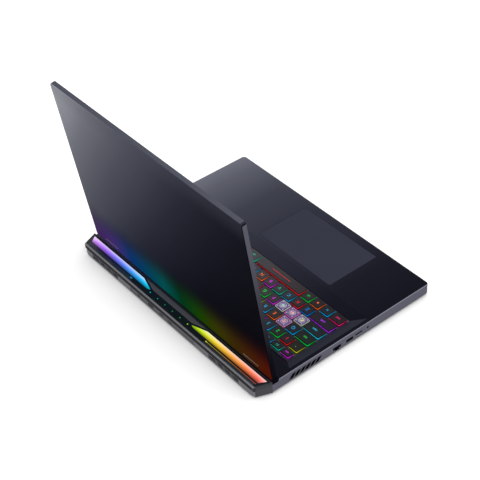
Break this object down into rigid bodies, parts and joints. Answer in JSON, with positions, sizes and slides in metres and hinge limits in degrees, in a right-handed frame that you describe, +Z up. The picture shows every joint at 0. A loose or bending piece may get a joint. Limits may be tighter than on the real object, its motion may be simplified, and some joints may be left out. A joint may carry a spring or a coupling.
{
  "type": "laptop computer",
  "caption": "Open gaming laptop computer with a leaning lid on friction hinges, backlit keys, a wide touchpad and a tapered rear module with a split coloured light bar.",
  "frame": {"origin": "middle of the base's footprint, on the surface that it stands on, under the middle foot", "axes": "+X to the user's right, +Y from the user to the rear, +Z up"},
  "size_m": [0.404, 0.325, 0.3049],
  "materials": {
    "deck_metal": "satin anodised anthracite",
    "lid_metal": "satin anodised anthracite",
    "bottom_plastic": "fine texture",
    "module_plastic": "satin moulded",
    "smoked_gloss": "polished, smoked",
    "light_guide": "frosted light guide",
    "accent_light": "frosted light guide",
    "grille": "moulded",
    "key_plastic": "fine matte",
    "clear_key": "translucent",
    "key_plate": "black",
    "backlight": "diffusing sheet",
    "touchpad_surface": "fine matte",
    "screen": "anti-glare",
    "bezel_plastic": "fine matte",
    "rubber": "matte",
    "steel": "brushed",
    "socket_metal": "plated",
    "socket_plastic": "moulded",
    "circuit_board": "lacquered board",
    "chip": "silicon and resin",
    "copper": "copper",
    "fin_metal": "bare",
    "battery_wrap": "film",
    "lens": "polished"
  },
  "bodies": {
    "base": {"top_case": "deck_metal", "bottom_cover": "bottom_plastic", "rubber_feet": "rubber", "bottom_screws": "steel", "rear_housing": "module_plastic", "light_bar_cover": "smoked_gloss", "light_board": "circuit_board", "light_guide_left": "light_guide", "light_guide_right": "light_guide", "accent_strips": "accent_light", "indicator_lenses": "accent_light", "exhaust_grilles": "grille", "port_panel": "grille", "power_inlet": "socket_plastic", "video_socket": "socket_metal", "small_sockets": "socket_metal", "usb_sockets": "socket_metal", "network_socket": "socket_plastic", "card_socket": "socket_metal", "audio_socket": "socket_plastic", "keyboard_plate": "key_plate", "backlight_sheet": "backlight", "touchpad_bracket": "steel", "mainboard": "circuit_board", "processors": "chip", "memory_modules": "circuit_board", "storage_modules": "circuit_board", "wireless_card": "circuit_board", "battery_pack": "battery_wrap", "speakers": "bottom_plastic", "heat_fins": "fin_metal", "heat_pipes": "copper", "fan_housings": "bottom_plastic", "hinge_bracket_left": "steel", "hinge_bracket_right": "steel"},
    "lid": {"lid_back_cover": "lid_metal", "lid_stops": "rubber", "screen_bezel": "bezel_plastic", "display_panel": "screen", "webcam_module": "lens", "lid_bumpers": "rubber", "hinge_arm_left": "steel", "hinge_arm_right": "steel"},
    "keys_function_row": {"keys_function_row": "key_plastic"},
    "keys_number_row": {"keys_number_row": "key_plastic"},
    "keys_upper_row": {"keys_upper_row": "key_plastic"},
    "keys_home_row": {"keys_home_row": "key_plastic"},
    "keys_lower_row": {"keys_lower_row": "key_plastic"},
    "keys_bottom_row": {"keys_bottom_row": "key_plastic"},
    "keys_numpad": {"keys_numpad": "key_plastic"},
    "space_bar": {"space_bar": "key_plastic"},
    "key_w": {"key_w": "clear_key"},
    "key_a": {"key_a": "clear_key"},
    "key_s": {"key_s": "clear_key"},
    "key_d": {"key_d": "clear_key"},
    "power_button": {"power_button": "key_plastic"},
    "touchpad": {"touchpad": "touchpad_surface"},
    "fan_rotor_left": {"fan_rotor_left": "bottom_plastic"},
    "fan_rotor_right": {"fan_rotor_right": "bottom_plastic"}
  },
  "joints": [
    {"name": "lid_hinge", "type": "hinge", "parent": "base", "child": "lid", "pos_m": [0, 0.1258, 0.024], "axis": [-1, 0, 0], "range_deg": [-98, 42]},
    {"name": "keys_function_row_press", "type": "slide", "parent": "base", "child": "keys_function_row", "axis": [0, 0, -1], "range_m": [0, 0.0017], "stiffness_N_per_m": 5400, "springref_m": -0.0006},
    {"name": "keys_number_row_press", "type": "slide", "parent": "base", "child": "keys_number_row", "axis": [0, 0, -1], "range_m": [0, 0.0017], "stiffness_N_per_m": 4200, "springref_m": -0.0006},
    {"name": "keys_upper_row_press", "type": "slide", "parent": "base", "child": "keys_upper_row", "axis": [0, 0, -1], "range_m": [0, 0.0017], "stiffness_N_per_m": 3900, "springref_m": -0.0006},
    {"name": "keys_home_row_press", "type": "slide", "parent": "base", "child": "keys_home_row", "axis": [0, 0, -1], "range_m": [0, 0.0017], "stiffness_N_per_m": 3000, "springref_m": -0.0006},
    {"name": "keys_lower_row_press", "type": "slide", "parent": "base", "child": "keys_lower_row", "axis": [0, 0, -1], "range_m": [0, 0.0017], "stiffness_N_per_m": 4200, "springref_m": -0.0006},
    {"name": "keys_bottom_row_press", "type": "slide", "parent": "base", "child": "keys_bottom_row", "axis": [0, 0, -1], "range_m": [0, 0.0017], "stiffness_N_per_m": 2700, "springref_m": -0.0006},
    {"name": "keys_numpad_press", "type": "slide", "parent": "base", "child": "keys_numpad", "axis": [0, 0, -1], "range_m": [0, 0.0017], "stiffness_N_per_m": 5100, "springref_m": -0.0006},
    {"name": "space_bar_press", "type": "slide", "parent": "base", "child": "space_bar", "axis": [0, 0, -1], "range_m": [0, 0.0017], "stiffness_N_per_m": 300, "springref_m": -0.0006},
    {"name": "key_w_press", "type": "slide", "parent": "base", "child": "key_w", "axis": [0, 0, -1], "range_m": [0, 0.0017], "stiffness_N_per_m": 300, "springref_m": -0.0006},
    {"name": "key_a_press", "type": "slide", "parent": "base", "child": "key_a", "axis": [0, 0, -1], "range_m": [0, 0.0017], "stiffness_N_per_m": 300, "springref_m": -0.0006},
    {"name": "key_s_press", "type": "slide", "parent": "base", "child": "key_s", "axis": [0, 0, -1], "range_m": [0, 0.0017], "stiffness_N_per_m": 300, "springref_m": -0.0006},
    {"name": "key_d_press", "type": "slide", "parent": "base", "child": "key_d", "axis": [0, 0, -1], "range_m": [0, 0.0017], "stiffness_N_per_m": 300, "springref_m": -0.0006},
    {"name": "power_button_press", "type": "slide", "parent": "base", "child": "power_button", "axis": [0, 0, -1], "range_m": [0, 0.0006], "stiffness_N_per_m": 600, "springref_m": -0.0006},
    {"name": "touchpad_click", "type": "hinge", "parent": "base", "child": "touchpad", "pos_m": [-0.0364, -0.0522, 0.01775], "axis": [1, 0, 0], "range_deg": [0, 0.3], "stiffness_Nm_per_rad": 30, "springref_deg": -0.23},
    {"name": "fan_spin_left", "type": "hinge", "parent": "base", "child": "fan_rotor_left", "pos_m": [-0.141, 0.0779, 0.008], "axis": [0, 0, 1], "continuous": true},
    {"name": "fan_spin_right", "type": "hinge", "parent": "base", "child": "fan_rotor_right", "pos_m": [0.141, 0.0779, 0.008], "axis": [0, 0, 1], "continuous": true}
  ]
}
